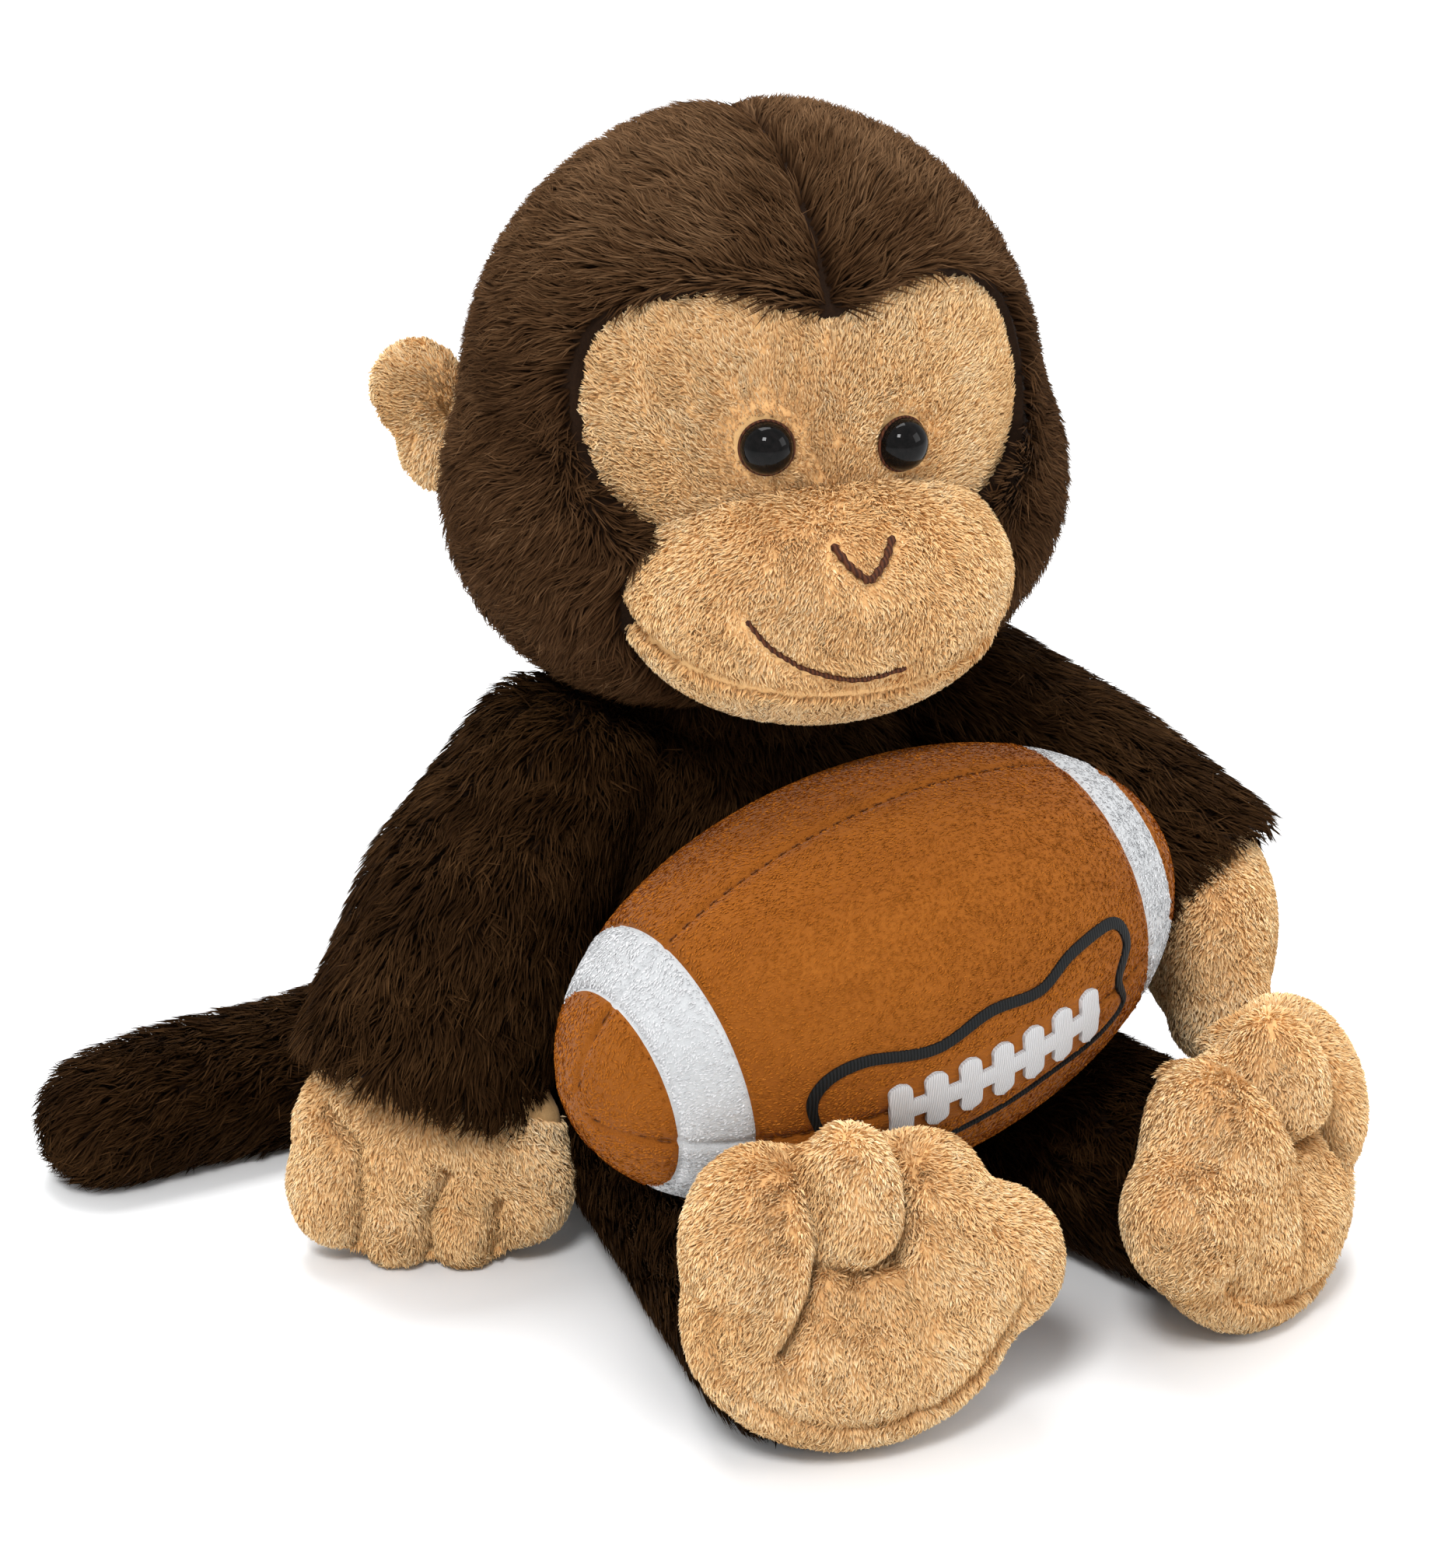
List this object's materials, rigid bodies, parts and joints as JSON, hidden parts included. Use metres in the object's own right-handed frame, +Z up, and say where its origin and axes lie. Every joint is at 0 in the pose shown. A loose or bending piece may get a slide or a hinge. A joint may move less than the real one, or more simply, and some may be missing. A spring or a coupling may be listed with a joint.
{
  "type": "plush monkey",
  "caption": "Seated plush monkey in brown pile with a tan face, paws and feet, holding a plush football in its lap.",
  "frame": {"origin": "middle of the seat, on the surface that the toy sits on", "axes": "+Z up, the toy faces -Y, its left hand is towards +X"},
  "size_m": [0.2174, 0.1926, 0.207],
  "materials": {
    "brown_pile": "long combed pile",
    "tan_pile": "short plush pile",
    "ball_pile": "very short nap",
    "white_pile": "very short nap",
    "stuffing": "polyester fibre",
    "pellets": "bagged pellets",
    "eye_black": "polished",
    "washer_plastic": "moulded",
    "brown_thread": "satin stitch",
    "black_thread": "satin stitch",
    "white_thread": "satin stitch"
  },
  "bodies": {
    "torso": {"torso_front": "brown_pile", "torso_back": "brown_pile", "seat_panel": "brown_pile", "torso_stuffing": "stuffing", "pellet_bag": "pellets"},
    "neck": {"neck_seam_ring": "brown_pile"},
    "head": {"head_right_panel": "brown_pile", "head_left_panel": "brown_pile", "head_back_panel": "brown_pile", "face_patch": "tan_pile", "muzzle_panel": "tan_pile", "chin_panel": "tan_pile", "nose_stitching": "brown_thread", "mouth_stitching": "brown_thread", "head_stuffing": "stuffing", "eye_right": "eye_black", "eye_left": "eye_black", "eye_washer_right": "washer_plastic", "eye_washer_left": "washer_plastic"},
    "ear_right": {"ear_right_front": "tan_pile", "ear_right_back": "tan_pile"},
    "ear_left": {"ear_left_front": "tan_pile", "ear_left_back": "tan_pile"},
    "arm_right": {"arm_right_outer_panel": "brown_pile", "arm_right_inner_panel": "brown_pile", "arm_right_stuffing": "stuffing", "paw_right_back": "tan_pile", "paw_right_palm": "tan_pile"},
    "arm_left": {"arm_left_outer_panel": "brown_pile", "arm_left_inner_panel": "brown_pile", "arm_left_stuffing": "stuffing", "paw_left_back": "tan_pile", "paw_left_palm": "tan_pile"},
    "leg_right": {"leg_right_top_panel": "brown_pile", "leg_right_under_panel": "brown_pile", "leg_right_stuffing": "stuffing", "foot_right_sole": "tan_pile", "foot_right_upper": "tan_pile"},
    "leg_left": {"leg_left_top_panel": "brown_pile", "leg_left_under_panel": "brown_pile", "leg_left_stuffing": "stuffing", "foot_left_sole": "tan_pile", "foot_left_upper": "tan_pile"},
    "tail": {"tail_top_panel": "brown_pile", "tail_under_panel": "brown_pile", "tail_stuffing": "stuffing"},
    "ball": {"ball_top_front_panel": "ball_pile", "ball_top_back_panel": "ball_pile", "ball_low_front_panel": "ball_pile", "ball_low_back_panel": "ball_pile", "ball_band_right": "white_pile", "ball_band_left": "white_pile", "ball_tip_right": "ball_pile", "ball_tip_left": "ball_pile", "ball_laces": "white_thread", "ball_border_stitching": "black_thread", "ball_stuffing": "stuffing"}
  },
  "joints": [
    {"name": "neck_nod", "type": "hinge", "parent": "torso", "child": "neck", "pos_m": [0, -0.008, 0.1], "axis": [1, 0, 0], "range_deg": [-20, 3]},
    {"name": "neck_turn", "type": "hinge", "parent": "neck", "child": "head", "pos_m": [0, -0.008, 0.1], "axis": [0, 0, 1], "range_deg": [-15, 40]},
    {"name": "ear_right_flap", "type": "hinge", "parent": "head", "child": "ear_right", "pos_m": [-0.03932, 0.03132, 0.1472], "axis": [0, 0, 1], "range_deg": [-20, 20], "stiffness_Nm_per_rad": 0.01},
    {"name": "ear_left_flap", "type": "hinge", "parent": "head", "child": "ear_left", "pos_m": [0.05371, 0.00639, 0.1472], "axis": [0, 0, 1], "range_deg": [-20, 20], "stiffness_Nm_per_rad": 0.01},
    {"name": "shoulder_right_raise", "type": "hinge", "parent": "torso", "child": "arm_right", "pos_m": [-0.04114, -0.005, 0.089], "axis": [0, 1, 0], "range_deg": [0, 80]},
    {"name": "shoulder_left_raise", "type": "hinge", "parent": "torso", "child": "arm_left", "pos_m": [0.04114, -0.005, 0.089], "axis": [0, -1, 0], "range_deg": [0, 60]},
    {"name": "hip_right_swing", "type": "hinge", "parent": "torso", "child": "leg_right", "pos_m": [-0.028, -0.015, 0.02], "axis": [1, 0, 0], "range_deg": [0, 60]},
    {"name": "hip_left_swing", "type": "hinge", "parent": "torso", "child": "leg_left", "pos_m": [0.028, -0.015, 0.02], "axis": [1, 0, 0], "range_deg": [0, 60]},
    {"name": "tail_wag", "type": "hinge", "parent": "torso", "child": "tail", "pos_m": [-0.008, 0.04835, 0.0165], "axis": [0, 0, -1], "range_deg": [0, 90]},
    {"name": "ball_lift_off", "type": "slide", "parent": "torso", "child": "ball", "axis": [0.6947, -0.4338, 0.5738], "range_m": [0, 0.2]}
  ]
}
